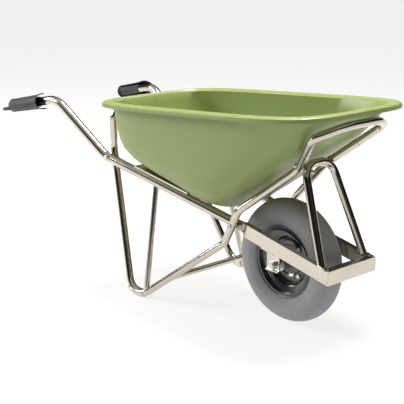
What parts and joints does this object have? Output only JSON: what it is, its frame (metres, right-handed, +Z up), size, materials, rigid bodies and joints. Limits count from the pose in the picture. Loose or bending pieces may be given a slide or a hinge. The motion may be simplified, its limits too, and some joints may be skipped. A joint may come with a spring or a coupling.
{
  "type": "wheelbarrow",
  "caption": "Garden wheelbarrow: moulded green tray on a bent bright-tube frame with legs, tipping bar, hand guards and a free-turning pneumatic wheel in a rectangular fork.",
  "frame": {"origin": "bottom centre of the bounding box, on the ground between the legs and the wheel", "axes": "+X forward from the grips to the wheel, +Y to the user's left, +Z up"},
  "size_m": [1.5248, 0.5784, 0.7158],
  "materials": {
    "tray_plastic": "satin green moulded polypropylene",
    "bright_tube": "bright plated tube",
    "grip_plastic": "charcoal, fine texture",
    "tyre_rubber": "grey rubber",
    "rim_black": "gloss black",
    "zinc_steel": "zinc plated"
  },
  "bodies": {
    "frame": {"axle": "zinc_steel", "axle_bracket_left": "bright_tube", "axle_bracket_right": "bright_tube", "axle_nut_left": "zinc_steel", "axle_nut_right": "zinc_steel", "axle_spacer_left": "zinc_steel", "axle_spacer_right": "zinc_steel", "axle_washer_left": "zinc_steel", "axle_washer_right": "zinc_steel", "foot_plate_left": "zinc_steel", "foot_plate_right": "zinc_steel", "fork_bar_left": "bright_tube", "fork_bar_right": "bright_tube", "front_hoop": "bright_tube", "grip_left": "grip_plastic", "grip_right": "grip_plastic", "hand_guard_left": "grip_plastic", "hand_guard_right": "grip_plastic", "handle_tube_left": "bright_tube", "handle_tube_right": "bright_tube", "leg_brace": "bright_tube", "leg_stay_left": "bright_tube", "leg_stay_right": "bright_tube", "leg_tie_bolt_left": "zinc_steel", "leg_tie_bolt_right": "zinc_steel", "leg_tie_spacer_left": "zinc_steel", "leg_tie_spacer_right": "zinc_steel", "nose_bar": "bright_tube", "rear_hoop": "bright_tube", "side_loop_left": "bright_tube", "side_loop_right": "bright_tube", "strut_tie_bolt_left": "zinc_steel", "strut_tie_bolt_right": "zinc_steel", "tipping_bar": "bright_tube", "tray": "tray_plastic", "tray_bolt_left_1": "zinc_steel", "tray_bolt_left_2": "zinc_steel", "tray_bolt_right_1": "zinc_steel", "tray_bolt_right_2": "zinc_steel", "tray_nut_left_1": "zinc_steel", "tray_nut_left_2": "zinc_steel", "tray_nut_right_1": "zinc_steel", "tray_nut_right_2": "zinc_steel", "tray_rail_left": "bright_tube", "tray_rail_right": "bright_tube", "waist_tie_bolt_left": "zinc_steel", "waist_tie_bolt_right": "zinc_steel"},
    "wheel": {"tyre": "tyre_rubber", "rim_half_left": "rim_black", "rim_half_right": "rim_black", "hub": "zinc_steel", "bearing_left": "zinc_steel", "bearing_right": "zinc_steel", "rim_bolt_1": "zinc_steel", "rim_bolt_2": "zinc_steel", "rim_bolt_3": "zinc_steel", "rim_bolt_4": "zinc_steel"}
  },
  "joints": [
    {"name": "wheel_spin", "type": "hinge", "parent": "frame", "child": "wheel", "pos_m": [0.4817, 0, 0.2], "axis": [0, 1, 0], "continuous": true}
  ]
}
